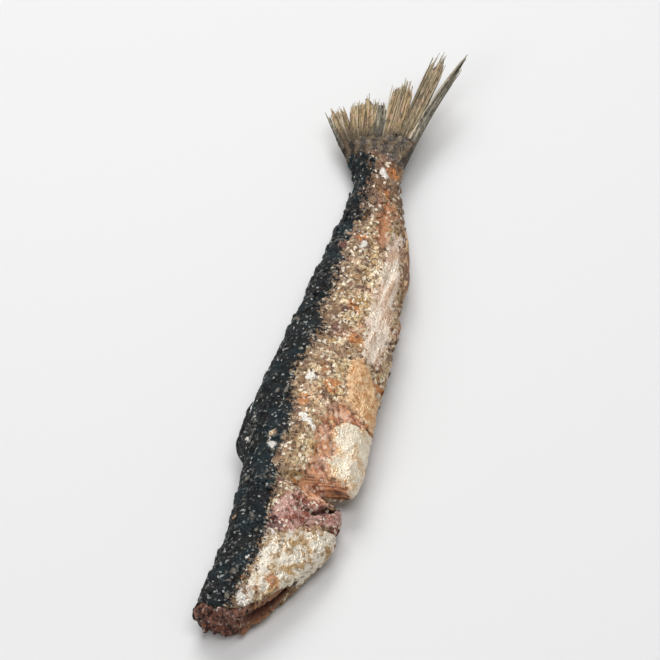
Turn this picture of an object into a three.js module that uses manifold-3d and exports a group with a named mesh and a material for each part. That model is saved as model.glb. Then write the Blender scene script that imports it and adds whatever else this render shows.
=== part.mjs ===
// A dried, headless herring lying on its right flank, as one solid.
// Millimetres. +X runs from the neck cut to the tail, +Y to the back, +Z up through the left flank.
// The origin is at the bottom centre of the fish's bounding box, on the surface that it rests on.
import * as THREE from "three";
import { mergeVertices } from "three/addons/utils/BufferGeometryUtils.js";
import Module from "manifold-3d";

const wasm = await Module();
wasm.setup();

// Driving dimensions of the trunk
const TRUNK_LENGTH = 122; // neck cut to the root of the tail fin
const TRUNK_DEPTH = 26; // back to belly at the deepest section
const TRUNK_THICKNESS = 11; // flank to flank at the thickest section
const NECK_SLANT = 16; // how far the belly is cut back behind the nape
const NECK_SLANT_REACH = 32; // length over which the slanted sections come upright
const TEAR_DEPTH = 4.4; // the tear in the belly edge
const TEAR_FRONT = 3.6; // how far its slope runs towards the neck
const TEAR_BACK = 1.9; // and towards the tail
const BELLY_HOLLOW = 0.9; // how far the emptied belly wall has sunk

// The way it dried: pressed on the rack, with both ends curled up and a slight twist
const REST_PRESS = 0.45;
const NECK_LIFT = 0.8;
const NECK_LIFT_REACH = 18;
const TAIL_LIFT = 3.2;
const TAIL_LIFT_REACH = 38; // length of trunk, before the fin, that rises off the rack
const NECK_ROLL = 5; // degrees
const TAIL_ROLL = -7;

// The emptied belly cavity, open at the neck cut, and the cut backbone
const CAVITY_LENGTH = 46;
const CAVITY_DEPTH = 9.5;
const CAVITY_GAP = 2.4;
const CAVITY_BELOW_AXIS = 7.2;
const BACKBONE_RADIUS = 1.5;
const BACKBONE_STAND_OUT = 0.9;
const BACKBONE_SOCKET = 6;

// The folded fins, each a low ridge: where it starts behind the neck, how long and how high it is
const FIN_THICKNESS = 1.2;
const FIN_TAPER = 0.6; // thickness of a ridge's top as a share of its foot's
const FIN_EMBED = 1.5; // how deep the ridges are rooted in the trunk
const DORSAL_FIN = { start: 40, length: 26, height: 2.8 };
const ANAL_FIN = { start: 86, length: 22, height: 1.9 };

// The tail fin: a web at its root, and bundles of rays that dried apart
const WEB_LENGTH = 9;
const WEB_EDGE_THICKNESS = 1;
const UPPER_EDGE_ANGLE = 37; // degrees from the axis, towards the back
const LOWER_EDGE_ANGLE = -12.5;
const UPPER_LOBE_LENGTH = 13;
const LOWER_LOBE_LENGTH = 28;
const RAY_ROOT_THICKNESS = 1.6;
const RAY_TIP_THICKNESS = 0.8;
const FIN_CURL = 1.2; // how far the longest ray curls up beyond its straight rise

// Outlines as [share of trunk length, share of trunk depth above the axis]
const BACK = [
  [0, 0.19], [0.07, 0.15], [0.14, 0.13], [0.22, 0.15], [0.3, 0.185], [0.36, 0.225], [0.42, 0.255],
  [0.49, 0.245], [0.56, 0.22], [0.64, 0.2], [0.75, 0.152], [0.87, 0.096], [0.94, 0.118], [1, 0.185],
];
const BELLY = [
  [0, -0.47], [0.07, -0.52], [0.15, -0.575], [0.24, -0.64], [0.33, -0.715], [0.42, -0.675], [0.51, -0.645],
  [0.6, -0.62], [0.68, -0.565], [0.76, -0.495], [0.83, -0.42], [0.88, -0.335], [0.92, -0.255],
  [0.96, -0.205], [1, -0.19],
];
// Thickness as [share of trunk length, share of trunk thickness]
const THICKNESS = [
  [0, 0.74], [0.08, 0.83], [0.2, 0.92], [0.37, 1], [0.5, 0.95], [0.65, 0.82], [0.78, 0.66], [0.88, 0.5],
  [0.96, 0.36], [1, 0.29],
];
const TEAR_AT = 0.274; // share of trunk length
const FULL_BACK = 0.3; // how much fuller a section is towards the back than at its middle
// Places on a section, from 1 at the back to -1 at the belly
const SQUARE_ABOVE = 0.2; // the neck cut is square to the axis from here to the nape
const HOLLOW_AT = -0.4; // the belly wall has sunk most here
const HOLLOW_WIDTH = 0.35;

// Bundles of rays from the back to the belly: place across the root (1 at the back, -1 at the belly),
// turn between the two edge angles, length as a share of its lobe's, and widths at root and tip.
const BUNDLES = [
  { lobe: UPPER_LOBE_LENGTH, place: 0.94, turn: 1, length: 0.98, root: 1.2, tip: 1.0 },
  { lobe: UPPER_LOBE_LENGTH, place: 0.8, turn: 0.82, length: 0.97, root: 1.9, tip: 2.4 },
  { lobe: UPPER_LOBE_LENGTH, place: 0.5, turn: 0.57, length: 1, root: 3.2, tip: 4.6 },
  { lobe: UPPER_LOBE_LENGTH, place: 0.06, turn: 0.42, length: 1, root: 2.4, tip: 2.2 },
  { lobe: LOWER_LOBE_LENGTH, place: -0.26, turn: 0.32, length: 0.62, root: 2.6, tip: 4 },
  { lobe: LOWER_LOBE_LENGTH, place: -0.62, turn: 0.16, length: 0.93, root: 2.8, tip: 3.6 },
  { lobe: LOWER_LOBE_LENGTH, place: -0.95, turn: 0, length: 1, root: 1.3, tip: 0.9 },
];

const STATIONS = 62;
const RING = 34;
const END_SHARES = [0.06, 0.4, 0.75]; // rings drawn in across the neck cut
const RAY_STEPS = 6;
const FIN_STEPS = 14;
const FIN_END_RISE = 0.04; // height of a ridge's two ends as a share of its full height
const FIN_PEAK = 2.6; // brings a ridge's highest point, a third of the way along, to its full height
const RAY_SECTION = [[1, 0], [0.6, 1], [-0.6, 1], [-1, 0], [-0.6, -1], [0.6, -1]];
const DEG = Math.PI / 180;
const { clamp, lerp } = THREE.MathUtils;
const UP = new THREE.Vector3(0, 0, 1);

/** A smooth curve through a table of [x, y] points, as a function of x. */
function curveThrough(table) {
  const curve = new THREE.CubicInterpolant(table.map((p) => p[0]), table.map((p) => p[1]), 1, [0]);
  return (x) => curve.evaluate(x)[0];
}

const back = curveThrough(BACK);
const belly = curveThrough(BELLY);
const thickness = curveThrough(THICKNESS);
const bell = (x, width) => Math.exp(-((x / width) ** 2));

/** Outline and thickness of the section a given distance from the neck. */
function sectionAt(distance) {
  const share = Math.min(distance / TRUNK_LENGTH, 1);
  const onWeb = Math.max(distance - TRUNK_LENGTH, 0);
  const fromTear = distance - TEAR_AT * TRUNK_LENGTH;
  const tear = TEAR_DEPTH * bell(fromTear, fromTear < 0 ? TEAR_FRONT : TEAR_BACK);
  return {
    top: back(share) * TRUNK_DEPTH + onWeb * Math.tan(UPPER_EDGE_ANGLE * DEG),
    bottom: belly(share) * TRUNK_DEPTH + tear + onWeb * Math.tan(LOWER_EDGE_ANGLE * DEG),
    thick: lerp(thickness(share) * TRUNK_THICKNESS, WEB_EDGE_THICKNESS, Math.sqrt(onWeb / WEB_LENGTH)),
    hollow: BELLY_HOLLOW * bell(share - 0.25, 0.2),
  };
}

/** Roll of the section a given distance from the neck, in radians. */
function rollAt(distance) {
  return lerp(NECK_ROLL, TAIL_ROLL, Math.min(distance / TRUNK_LENGTH, 1)) * DEG;
}

/** How far the underside is held off the rack a given distance from the neck. */
function liftAt(distance) {
  const atNeck = clamp(1 - distance / NECK_LIFT_REACH, 0, 1);
  const risen = Math.max(distance - TRUNK_LENGTH + TAIL_LIFT_REACH, 0) / TAIL_LIFT_REACH;
  return NECK_LIFT * atNeck ** 2 + TAIL_LIFT * risen ** 2;
}

/** The closed line round a section about its own axis, drawn in to its middle where share is under 1. */
function sectionLine(distance, share) {
  const { top, bottom, thick, hollow } = sectionAt(distance);
  const middle = (top + bottom) / 2;
  const half = (top - bottom) / 2;
  const roll = rollAt(distance);
  const slant = NECK_SLANT * clamp(1 - distance / NECK_SLANT_REACH, 0, 1);
  return Array.from({ length: RING }, (_, i) => {
    const angle = (i / RING) * 2 * Math.PI;
    const across = share * Math.cos(angle);
    const up = share * Math.sin(angle);
    const sunk = share * Math.sign(up) * hollow * bell(across - HOLLOW_AT, HOLLOW_WIDTH);
    const wall = (thick / 2) * up * (1 + FULL_BACK * across) - sunk;
    const cutBack = slant * Math.max((SQUARE_ABOVE - across) / (SQUARE_ABOVE + 1), 0) ** 2;
    return new THREE.Vector3(
      distance + cutBack,
      middle + half * across * Math.cos(roll) - wall * Math.sin(roll),
      half * across * Math.sin(roll) + wall * Math.cos(roll),
    );
  });
}

/** The same line with the section laid on the rack, whose surface flattens what presses on it. */
function ringAt(distance, share = 1) {
  const lowest = Math.min(...sectionLine(distance, 1).map((p) => p.z));
  const shift = liftAt(distance) - lowest - REST_PRESS;
  return sectionLine(distance, share).map((p) => p.setZ(Math.max(p.z + shift, 0)));
}

/** Height of the middle of the section a given distance from the neck. */
function middleHeight(distance) {
  return ringAt(distance).reduce((sum, p) => sum + p.z, 0) / RING;
}

/** A closed body through rings of points, with a point in the middle of each end. */
function loft(rings) {
  const size = rings[0].length;
  const middleOf = (ring) => ring.reduce((sum, p) => sum.add(p), new THREE.Vector3()).divideScalar(size);
  const points = [...rings.flat(), middleOf(rings[0]), middleOf(rings[rings.length - 1])];
  const firstEnd = rings.length * size;
  const lastRing = firstEnd - size;
  const index = [];
  for (let i = 0; i < size; i++) {
    const next = (i + 1) % size;
    for (let row = 0; row < lastRing; row += size) {
      index.push(row + i, row + next, row + size + i);
      index.push(row + next, row + size + next, row + size + i);
    }
    index.push(firstEnd, next, i);
    index.push(firstEnd + 1, lastRing + i, lastRing + next);
  }
  return new THREE.BufferGeometry().setFromPoints(points).setIndex(index);
}

/** A three.js geometry as a manifold-3d solid. */
function solid(geometry) {
  const bare = geometry.clone();
  bare.deleteAttribute("normal");
  bare.deleteAttribute("uv");
  const merged = mergeVertices(bare, 1e-4);
  return new wasm.Manifold(
    new wasm.Mesh({
      numProp: 3,
      vertProperties: merged.attributes.position.array,
      triVerts: new Uint32Array(merged.index.array),
    }),
  );
}

/** A manifold-3d solid as a three.js geometry. */
function geometryOf(made) {
  const mesh = made.getMesh();
  const geometry = new THREE.BufferGeometry();
  geometry.setAttribute("position", new THREE.BufferAttribute(mesh.vertProperties, 3));
  geometry.setIndex(new THREE.BufferAttribute(mesh.triVerts, 1));
  geometry.computeVertexNormals();
  return geometry;
}

/** The trunk, from the neck cut to the edge of the tail fin's web. */
function trunk() {
  const rings = END_SHARES.map((share) => ringAt(0, share));
  for (let i = 0; i < STATIONS; i++) {
    rings.push(ringAt(((TRUNK_LENGTH + WEB_LENGTH) * i) / (STATIONS - 1)));
  }
  return solid(loft(rings));
}

/** The emptied belly: a flat pocket between the two belly walls, open at the neck. */
function cavity() {
  const mouth = NECK_SLANT / 3;
  const pocket = new THREE.SphereGeometry(0.5, 20, 12);
  pocket.scale(CAVITY_LENGTH, CAVITY_DEPTH, CAVITY_GAP);
  pocket.rotateX(NECK_ROLL * DEG);
  pocket.translate(mouth, -CAVITY_BELOW_AXIS, middleHeight(mouth));
  return solid(pocket);
}

/** The cut end of the backbone, standing a little out of the flesh. */
function backbone() {
  const length = BACKBONE_STAND_OUT + BACKBONE_SOCKET;
  const bone = new THREE.CylinderGeometry(BACKBONE_RADIUS, BACKBONE_RADIUS, length, 12);
  bone.rotateZ(Math.PI / 2);
  bone.translate((BACKBONE_SOCKET - BACKBONE_STAND_OUT) / 2, 0, middleHeight(0));
  return solid(bone);
}

/** A folded fin: a thin ridge along the back (side 1) or the belly (side -1), highest near its front. */
function foldedFin({ start, length, height }, side) {
  const rings = [];
  for (let i = 0; i <= FIN_STEPS; i++) {
    const share = i / FIN_STEPS;
    const distance = start + share * length;
    const edge = ringAt(distance)[side > 0 ? 0 : RING / 2];
    const roll = rollAt(distance);
    const out = new THREE.Vector3(0, side * Math.cos(roll), side * Math.sin(roll));
    const aside = new THREE.Vector3(0, -Math.sin(roll), Math.cos(roll));
    const stand = height * (FIN_END_RISE + (FIN_PEAK - FIN_END_RISE) * Math.sqrt(share) * (1 - share));
    const foot = (side * FIN_THICKNESS) / 2;
    const top = foot * FIN_TAPER;
    const halfOutline = [[stand, top], [0, foot], [-FIN_EMBED, foot]];
    const outline = [...halfOutline, ...halfOutline.toReversed().map(([far, wide]) => [far, -wide])];
    rings.push(
      outline.map(([far, wide]) => edge.clone().addScaledVector(out, far).addScaledVector(aside, wide)),
    );
  }
  return solid(loft(rings));
}

/** One bundle of fin rays: a flat bar that widens, thins and curls up towards its tip. */
function rayBundle({ lobe, place, turn, length, root, tip }) {
  const angle = lerp(LOWER_EDGE_ANGLE, UPPER_EDGE_ANGLE, turn) * DEG;
  const along = new THREE.Vector3(Math.cos(angle), Math.sin(angle), 0);
  const across = new THREE.Vector3(-along.y, along.x, 0);
  const { top, bottom } = sectionAt(TRUNK_LENGTH);
  const rooted = lerp(bottom, top, (place + 1) / 2);
  const start = new THREE.Vector3(TRUNK_LENGTH, rooted, middleHeight(TRUNK_LENGTH));
  const slope = (middleHeight(TRUNK_LENGTH + WEB_LENGTH) - start.z) / WEB_LENGTH;
  const rings = [];
  for (let i = 0; i <= RAY_STEPS; i++) {
    const share = i / RAY_STEPS;
    const out = share * lobe * length;
    const centre = start.clone().addScaledVector(along, out);
    centre.z += slope * out + FIN_CURL * (out / LOWER_LOBE_LENGTH) ** 2;
    const wide = lerp(root, tip, share) / 2;
    const thick = lerp(RAY_ROOT_THICKNESS, RAY_TIP_THICKNESS, Math.sqrt(share)) / 2;
    rings.push(
      RAY_SECTION.map(([u, v]) =>
        centre.clone().addScaledVector(across, u * wide).addScaledVector(UP, v * thick),
      ),
    );
  }
  return solid(loft(rings));
}

let body = trunk().subtract(cavity()).add(backbone());
body = body.add(foldedFin(DORSAL_FIN, 1)).add(foldedFin(ANAL_FIN, -1));
for (const bundle of BUNDLES) {
  body = body.add(rayBundle(bundle));
}

const skin = new THREE.MeshStandardMaterial({ color: 0xa8845c, roughness: 0.45, metalness: 0.15 });
const herring = new THREE.Mesh(geometryOf(body), skin);
herring.name = "dried_herring";
herring.geometry.computeBoundingBox();
const middle = herring.geometry.boundingBox.getCenter(new THREE.Vector3());
herring.position.set(-middle.x, -middle.y, -herring.geometry.boundingBox.min.z);

const part = new THREE.Group();
part.add(herring);

export default part;
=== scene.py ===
"""A dried, headless herring lying on its right flank on a pale table."""
import math

import bpy
import numpy as np
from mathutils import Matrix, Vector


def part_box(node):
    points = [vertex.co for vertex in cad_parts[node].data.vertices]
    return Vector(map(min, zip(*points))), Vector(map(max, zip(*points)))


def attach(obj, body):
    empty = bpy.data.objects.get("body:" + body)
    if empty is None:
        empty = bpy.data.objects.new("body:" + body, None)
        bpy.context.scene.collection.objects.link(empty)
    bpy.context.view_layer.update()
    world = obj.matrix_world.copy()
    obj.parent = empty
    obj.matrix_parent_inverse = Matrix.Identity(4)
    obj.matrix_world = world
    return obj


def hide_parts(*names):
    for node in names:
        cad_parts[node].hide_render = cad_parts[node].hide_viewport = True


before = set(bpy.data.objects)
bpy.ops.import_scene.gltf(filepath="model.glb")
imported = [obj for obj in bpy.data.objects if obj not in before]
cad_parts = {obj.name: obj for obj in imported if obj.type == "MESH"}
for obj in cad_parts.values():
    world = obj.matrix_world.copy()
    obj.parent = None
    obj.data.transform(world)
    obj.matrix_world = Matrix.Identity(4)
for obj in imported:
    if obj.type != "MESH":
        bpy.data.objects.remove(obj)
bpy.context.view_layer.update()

# ---- Trunk: its form ---------------------------------------------------------------------------
# The herring's trunk, gutted and dried whole. Muscle and skin shrank together on the rack, so it is
# flat from flank to flank, pressed where it lay, hollow along the emptied belly, and lifts at the tail.

MM = 0.001  # metres. All other lengths are in millimetres
TRUNK_LENGTH = 122.0
TRUNK_DEPTH = 26.0
TRUNK_THICKNESS = 11.0
BACK_FULLNESS = 0.3  # how much thicker a section is towards the back
NECK_SLANT = 14.0  # how far the belly is cut back behind the nape
NECK_SLANT_REACH = 32.0  # length over which the slanted sections come upright
SLANT_FROM = 0.2  # share of the way from the axis to the back where the slant starts
TEAR_AT = 33.6
TEAR_DEPTH = 5.6
TEAR_FRONT = 2.2  # how far its slope runs towards the neck
TEAR_BACK = 1.1  # and towards the tail
HOLLOW_DEPTH = 0.9  # how far each flank has sunk over the emptied belly
HOLLOW_AT = (0.25, -0.4)  # share of the length, and of the way from the axis to the back
HOLLOW_SPREAD = (0.2, 0.35)
ROOT_REACH = 3.0  # how far the scaly skin runs out over the fin's root
WEB_LENGTH = 9.0  # how far behind the trunk the fin is WEB_THICKNESS thick
WEB_THICKNESS = 1.0
UPPER_EDGE_ANGLE = math.radians(33)
LOWER_EDGE_ANGLE = math.radians(-12.5)

# The way it dried: pressed on the rack, with both ends curled up and a slight twist
REST_PRESS = 0.45
NECK_LIFT = 0.8
NECK_LIFT_REACH = 18.0
TAIL_LIFT = 3.2
TAIL_LIFT_REACH = 38.0
NECK_ROLL = 5.0  # degrees
TAIL_ROLL = -7.0

# Edges and thickness as (share of the trunk's length, share of its depth or of its thickness)
BACK = [
    (0, 0.17), (0.07, 0.13), (0.14, 0.11), (0.22, 0.125), (0.3, 0.155), (0.36, 0.2), (0.42, 0.24),
    (0.49, 0.218), (0.56, 0.18), (0.64, 0.15), (0.75, 0.115), (0.87, 0.068), (0.935, 0.075),
    (0.965, 0.15), (1, 0.28),
]
BELLY = [
    (0, -0.46), (0.05, -0.56), (0.1, -0.625), (0.16, -0.625), (0.24, -0.64), (0.3, -0.695), (0.34, -0.69),
    (0.4, -0.66), (0.51, -0.633), (0.6, -0.615), (0.68, -0.565), (0.76, -0.495), (0.83, -0.42),
    (0.88, -0.335), (0.92, -0.268), (0.96, -0.238), (1, -0.235),
]
THICKNESS = [
    (0, 0.74), (0.08, 0.83), (0.2, 0.92), (0.37, 1), (0.5, 0.95), (0.65, 0.82), (0.78, 0.66),
    (0.88, 0.5), (0.96, 0.36), (1, 0.29),
]


def smooth(low, high, value):
    """0 up to low, 1 from high on, and an even slope between."""
    share = np.clip((value - low) / (high - low), 0, 1)
    return share * share * (3 - 2 * share)


def curve_through(points):
    """A smooth line through (place, height) points, as a function of place."""
    place, height = np.array(points, float).T
    slope = np.gradient(height, place)

    def height_at(where):
        i = np.clip(np.searchsorted(place, where, side="right") - 1, 0, len(place) - 2)
        width = place[i + 1] - place[i]
        t = np.clip((where - place[i]) / width, 0, 1)
        rise = (3 - 2 * t) * t * t
        bend = width * t * (1 - t) * (slope[i] * (1 - t) - slope[i + 1] * t)
        return height[i] * (1 - rise) + height[i + 1] * rise + bend

    return height_at


back_edge = curve_through(BACK)
belly_edge = curve_through(BELLY)
girth_share = curve_through(THICKNESS)


def section(distance):
    """The back and belly edges and the thickness of the trunk, a distance from the neck, in millimetres."""
    share = np.minimum(distance / TRUNK_LENGTH, 1)
    spread = np.maximum(distance - TRUNK_LENGTH, 0)
    from_tear = distance - TEAR_AT
    tear_slope = np.where(from_tear < 0, TEAR_FRONT, TEAR_BACK)
    tear = TEAR_DEPTH * np.exp(-((from_tear / tear_slope) ** 2))
    top = back_edge(share) * TRUNK_DEPTH + spread * math.tan(UPPER_EDGE_ANGLE)
    bottom = belly_edge(share) * TRUNK_DEPTH + tear + spread * math.tan(LOWER_EDGE_ANGLE)
    thick = girth_share(share) * TRUNK_THICKNESS
    thick = thick + (WEB_THICKNESS - thick) * np.sqrt(spread / WEB_LENGTH)
    return top, bottom, thick


def roll_at(share):
    """How far the section at a share of the trunk's length is rolled over."""
    return np.radians(NECK_ROLL + (TAIL_ROLL - NECK_ROLL) * share)


def standing(distance, across, up):
    """A point of the section before it is laid down. across is 1 at the back and -1 at the belly."""
    top, bottom, thick = section(distance)
    share = np.minimum(distance / TRUNK_LENGTH, 1)
    roll = roll_at(share)
    along_hollow = (share - HOLLOW_AT[0]) / HOLLOW_SPREAD[0]
    across_hollow = (across - HOLLOW_AT[1]) / HOLLOW_SPREAD[1]
    sunk = HOLLOW_DEPTH * np.exp(-(along_hollow**2)) * np.exp(-(across_hollow**2))
    off_edge = np.minimum(np.abs(up) * 4, 1)
    wall = (thick / 2) * up * (1 + BACK_FULLNESS * across) - np.sign(up) * off_edge * sunk
    slant = NECK_SLANT * np.clip(1 - distance / NECK_SLANT_REACH, 0, 1)
    cut_back = slant * (np.maximum(SLANT_FROM - across, 0) / (SLANT_FROM + 1)) ** 2
    half = (top - bottom) / 2
    x = distance + cut_back
    y = (top + bottom) / 2 + half * across * np.cos(roll) - wall * np.sin(roll)
    z = half * across * np.sin(roll) + wall * np.cos(roll)
    return x, y, z


def laid(distance, across, up):
    """The same point with the trunk lying on the table."""
    distance, across, up = np.broadcast_arrays(*(np.asarray(a, float) for a in (distance, across, up)))
    ring = np.linspace(0, 2 * math.pi, 97)
    lowest = standing(distance[..., None], np.cos(ring), np.sin(ring))[2].min(-1)
    at_neck = NECK_LIFT * np.clip(1 - distance / NECK_LIFT_REACH, 0, 1) ** 2
    past_lift = np.maximum(distance - TRUNK_LENGTH + TAIL_LIFT_REACH, 0)
    at_tail = TAIL_LIFT * (past_lift / TAIL_LIFT_REACH) ** 2
    x, y, z = standing(distance, across, up)
    z = z - lowest - REST_PRESS + at_neck + at_tail
    return np.stack([x, y, np.maximum(z, 0)], -1)


# The box starts at the backbone's stub, in front of the neck cut, and at the deepest part of the belly
STUB = 0.9
BELLY_DEPTH = 18.6
low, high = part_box("dried_herring")
NECK = np.array([low.x / MM + STUB, low.y / MM + BELLY_DEPTH, low.z / MM])


# ---- Trunk: its skin ---------------------------------------------------------------------------
# Scaled skin dried tight over the muscle: blue-black and crusted along the back, gold and silver on the
# flanks. It split across the belly and peeled in two places, which bares red-brown muscle.

ROWS = 404  # rings of points along the trunk
UPPER_POINTS = 142  # points round the shown flank
LOWER_POINTS = 88  # and round the flank that it lies on

# Outlines on the left flank as (millimetres from the neck, millimetres above the trunk's axis)
CHAR_BORDER = [
    (0, -2.2), (5, -3.2), (13, -4.2), (20, -4.6), (27, -4.1), (32, -3.7), (36, -2), (42, -2.8), (47, -2.2),
    (55, -0.7), (60, -0.5), (65, -1.4), (71, -2.4), (77, -0.8), (82, -1.9), (86, -1.7), (91, -1.1),
    (100, -1.3), (105, -2.2), (110, -1.4), (118.5, 0), (121, 2.5), (123, 6.5), (130, 9),
]
CREAM_PATCH = [
    (47.5, -10.8), (49.6, -12.4), (50.6, -15.4), (49.8, -17.6), (46, -18.4), (39, -20), (34, -20),
    (33.6, -17), (36.4, -15.4), (36.2, -13), (39.4, -10), (41.2, -11.8), (43.4, -12.4), (45.6, -10.9),
]
TAN_PATCH = [
    (66.2, -11.6), (64.6, -9.6), (59.4, -10), (56.6, -10.8), (53.9, -10.6), (53.9, -12.2), (52.4, -13.9),
    (50.4, -16), (50.4, -17.2), (53.1, -17.2), (58.4, -16), (61.4, -15.7), (63.6, -13.7),
]
BARE_MUSCLE = [
    (55, -10.2), (50, -9), (46, -8.4), (42, -8), (36.5, -7.8), (31.5, -8), (29.8, -9.6), (30.4, -13.6),
    (31, -20), (44, -20), (51, -18), (54, -13),
]
BRUISE = [
    (17.8, -4), (24, -4.4), (27.4, -5), (30, -7.6), (31, -11), (31, -14), (32, -20), (26.6, -20),
    (25.4, -14.5), (23, -11.6), (20.8, -8), (18.8, -5.4),
]
SILVER_BELLY = [
    (65.5, -12.2), (70, -11), (76, -9.8), (84, -9.2), (90, -9), (96, -8.4), (101, -8.4), (101, -10.6),
    (96, -11.8), (90, -12.8), (84, -13.4), (76, -14.6), (70, -15.4), (66, -14.4),
]
TAIL_MUSCLE = [
    (109, -5.8), (107, -4.9), (103, -5.2), (98, -6.2), (94, -7.4), (95, -8.2), (99, -8), (104.5, -8),
    (107.5, -7.2),
]
NECK_FLAP = [(5, -4.6), (10, -4.6), (17, -4.8), (20.4, -8), (22.6, -11.6), (25, -15), (26, -20), (8, -20)]
# Spots as (millimetres from the neck, millimetres above the axis, radius)
PALE_SPOTS = [
    (3, -4.4, 1.6), (12.5, -2.6, 0.6), (14.5, 2, 0.5), (39.3, -0.6, 0.8), (42, 4.6, 0.6), (46, -5.6, 1.2),
    (57.5, -3.6, 1.3), (83.5, 3.2, 0.7), (95, -4.2, 1.1), (115, -3.4, 0.7), (19.4, -5.4, 0.8),
]
ORANGE_SPOTS = [
    (32.5, -7, 1.4), (57, -8, 1.9), (70, -8.9, 1.6), (97.5, -3.3, 1.3), (52, -3.6, 1.6), (116, -4.8, 1.2),
    (61, -16.4, 1.4), (78, -6.5, 1.3), (50.5, -17, 1.2), (9, -8.2, 1.6), (36, -19, 1.6), (110, -5.2, 1.6),
]
DARK_SPOTS = [
    (21.5, -6, 1.5), (119.5, -3.6, 1.3), (94.5, -0.6, 0.9), (77, -5.2, 0.9), (72, -4.5, 1.0),
    (28.5, -13, 1.2),
]
NOT_HERE = -9.0  # well outside a border, for a kind of skin that the hidden flank doesn't have
PAST_EDGE = 0.35  # radians round the belly's edge that still belong to the shown flank
HIDDEN_SPLIT = 9.0  # how much nearer the neck the hidden flank's own small split is

# Creases round the tear as (start, end, depth, width)
CREASES = [
    ((27.5, -12), (29.5, -14.5), 1.0, 0.6), ((29.5, -14.5), (32.3, -18), 1.5, 0.7),
    ((24.4, -13), (26, -18), 0.7, 0.45), ((27, -9), (27.6, -12), 0.5, 0.5),
]


def mottle(points, cell, seed):
    """Smooth random patches, from -1 to 1, about a cell across. Each seed gives its own pattern."""
    scaled = points / np.asarray(cell, float)
    corner = np.floor(scaled).astype(np.int64)
    part = scaled - corner
    part = part * part * (3 - 2 * part)
    total = np.zeros(points.shape[:-1])
    for step in np.ndindex(2, 2, 2):
        number = (corner + step) @ np.array([73856093, 19349663, 83492791]) + seed * 1013904223
        number = ((number ^ (number >> 13)) * 1274126177) & 0x7FFFFFFF
        chance = ((number ^ (number >> 15)) & 0xFFFF) / 32767.5 - 1
        total += chance * np.prod(np.where(np.array(step) == 1, part, 1 - part), axis=-1)
    return total


def from_line(x, y, start, end):
    """How far each place is from a straight line between two places, in millimetres."""
    (ax, ay), (bx, by) = start, end
    run = ((x - ax) * (bx - ax) + (y - ay) * (by - ay)) / ((bx - ax) ** 2 + (by - ay) ** 2)
    run = np.clip(run, 0, 1)
    return np.hypot(x - ax - run * (bx - ax), y - ay - run * (by - ay))


def inside(x, y, outline):
    """How far inside a closed outline each place is, in millimetres, and negative outside."""
    ends = np.array(outline, float)
    starts = np.roll(ends, 1, 0)
    nearest = np.full(x.shape, 1e9)
    within = np.zeros(x.shape, bool)
    for (ax, ay), (bx, by) in zip(starts, ends):
        nearest = np.minimum(nearest, from_line(x, y, (ax, ay), (bx, by)))
        crosses = (ay > y) != (by > y)
        within ^= crosses & (x < ax + (y - ay) * (bx - ax) / np.where(by == ay, 1, by - ay))
    return np.where(within, nearest, -nearest)


def spotted(x, y, spots):
    """1 in the middle of the nearest spot, fading to 0 outside it."""
    far = [((x - a) ** 2 + (y - b) ** 2) / radius**2 for a, b, radius in spots]
    return np.exp(-(np.minimum.reduce(far) ** 1.5))


def scales(along, around):
    """Overlapping scales: the top one's height, its outline of painted shade, its lip of painted highlight
    and its random number.
    """
    pitch, row, radius, missing = 2.3, 1.15, 1.45, 0.08
    height = np.zeros(along.shape)
    rim_shade = np.ones(along.shape)
    lip_highlight = np.zeros(along.shape)
    own = np.zeros(along.shape)
    foremost = np.full(along.shape, 1e9)
    for side in (-1, 0, 1):
        line = np.round(around / row) + side
        shift = np.where(line % 2 == 0, 0, 0.5)
        for ahead in (-1, 0, 1):
            count = np.round(along / pitch - shift) + ahead
            centre = (count + shift) * pitch
            far = np.hypot((along - centre) / radius, (around - line * row) / radius)
            random = np.abs(np.sin(count * 12.9898 + line * 78.233) * 43758.5453) % 1
            on_top = (far < 1) & (centre < foremost) & (random > missing)
            foremost = np.where(on_top, centre, foremost)
            height = np.where(on_top, (along - centre) / radius * (0.3 + 1.4 * random), height)
            rim_shade = np.where(on_top, smooth(0.8, 1, far), rim_shade)
            lip_highlight = np.where(on_top, smooth(0.4, 0.75, far) * smooth(1.02, 0.85, far), lip_highlight)
            own = np.where(on_top, random * 7.13 % 1, own)
    return height, rim_shade, lip_highlight, own


def closed_mesh(name, rings):
    """A closed skin over rings of points, with a point in the middle of each end, and its own unwrapping."""
    rows, round_ = rings.shape[:2]
    points = np.vstack([rings.reshape(-1, 3), rings[0].mean(0), rings[-1].mean(0)])
    i, j = np.meshgrid(np.arange(rows - 1), np.arange(round_), indexing="ij")
    k = (j + 1) % round_
    quads = np.stack([i * round_ + j, (i + 1) * round_ + j, (i + 1) * round_ + k, i * round_ + k], -1)
    corners = np.stack([np.stack(c, -1) for c in ((i, j), (i + 1, j), (i + 1, j + 1), (i, j + 1))], -2)
    edge = np.arange(round_)
    after = (edge + 1) % round_
    final = (rows - 1) * round_
    first = np.stack([np.full(round_, rows * round_), edge, after], -1)
    last = np.stack([np.full(round_, rows * round_ + 1), final + after, final + edge], -1)
    mesh = bpy.data.meshes.new(name)
    faces = quads.reshape(-1, 4).tolist() + first.tolist() + last.tolist()
    mesh.from_pydata((points * MM).tolist(), [], faces)
    cap = np.stack([np.stack([np.full(round_, 0.5), edge + 0.5], -1)] * 3, -2) / (rows, round_)
    cap[:, 0, 0] = 0
    spread = corners / (rows, round_)
    unwrapped = np.concatenate([spread.reshape(-1, 2), cap.reshape(-1, 2), 1 - cap.reshape(-1, 2)])
    mesh.uv_layers.new(name="OFBake").data.foreach_set("uv", unwrapped.astype(np.float32).ravel())
    mesh.shade_smooth()
    piece = bpy.data.objects.new(name, mesh)
    bpy.context.scene.collection.objects.link(piece)
    return piece


def note(piece, **readings):
    """Stores numbers at a piece's points, for its finish to read."""
    for name, values in readings.items():
        kept = piece.data.attributes.new(name, "FLOAT", "POINT")
        kept.data.foreach_set("value", np.asarray(values, np.float32).ravel())


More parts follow.
